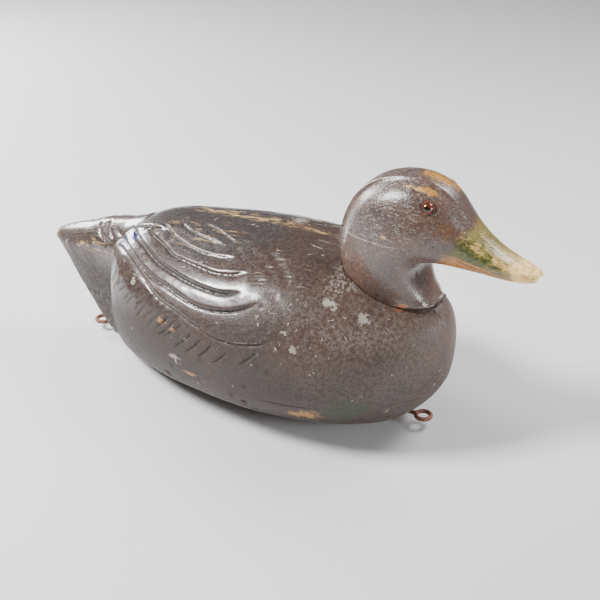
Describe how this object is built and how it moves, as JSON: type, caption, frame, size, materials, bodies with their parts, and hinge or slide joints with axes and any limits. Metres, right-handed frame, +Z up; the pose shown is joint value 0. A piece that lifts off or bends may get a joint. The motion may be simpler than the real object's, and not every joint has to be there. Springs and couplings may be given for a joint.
{
  "type": "floating duck decoy",
  "caption": "Hollow carved wooden duck decoy with a separate head, glass eyes, inlaid lead ballast and two screw eyes for the anchor line.",
  "frame": {"origin": "on the surface the decoy rests on, midway between the tail tip and the bill tip, on the centre plane", "axes": "+X towards the bill, +Y towards the duck's left side, +Z up"},
  "size_m": [0.3918, 0.1616, 0.1949],
  "materials": {
    "painted_body": "worn dark brown and umber oil paint over carved wood, satin",
    "painted_head": "worn dark brown paint, olive grey on the bill, satin",
    "bare_wood": "bare softwood",
    "nail_steel": "rusted wire nails",
    "screw_steel": "dull slotted wood screws",
    "lead": "oxidised lead, dull grey",
    "rusty_wire": "old screw eyes, brown rust",
    "eye_glass": "clear glass",
    "eye_amber": "amber brown enamel on the back of the glass",
    "eye_black": "black enamel",
    "eye_putty": "hardened putty, pinkish brown",
    "eye_wire": "thin iron wire"
  },
  "bodies": {
    "decoy": {"body_upper": "painted_body", "body_lower": "painted_body", "head": "painted_head", "neck_dowel": "bare_wood", "neck_nails": "nail_steel", "body_nails": "nail_steel", "ballast_weight": "lead", "ballast_screws": "screw_steel", "eye_glass_right": "eye_glass", "eye_iris_right": "eye_amber", "eye_pupil_right": "eye_black", "eye_putty_right": "eye_putty", "eye_wire_right": "eye_wire", "eye_glass_left": "eye_glass", "eye_iris_left": "eye_amber", "eye_pupil_left": "eye_black", "eye_putty_left": "eye_putty", "eye_wire_left": "eye_wire"},
    "front_eye": {"line_eye_front": "rusty_wire"},
    "rear_eye": {"line_eye_rear": "rusty_wire"}
  },
  "joints": [
    {"name": "front_eye_turn", "type": "hinge", "parent": "decoy", "child": "front_eye", "pos_m": [0.12, 0, 0.008], "axis": [1, 0, 0], "range_deg": [-30, 30]},
    {"name": "rear_eye_turn", "type": "hinge", "parent": "decoy", "child": "rear_eye", "pos_m": [-0.1605, 0, 0.008], "axis": [1, 0, 0], "range_deg": [-45, 45]}
  ]
}
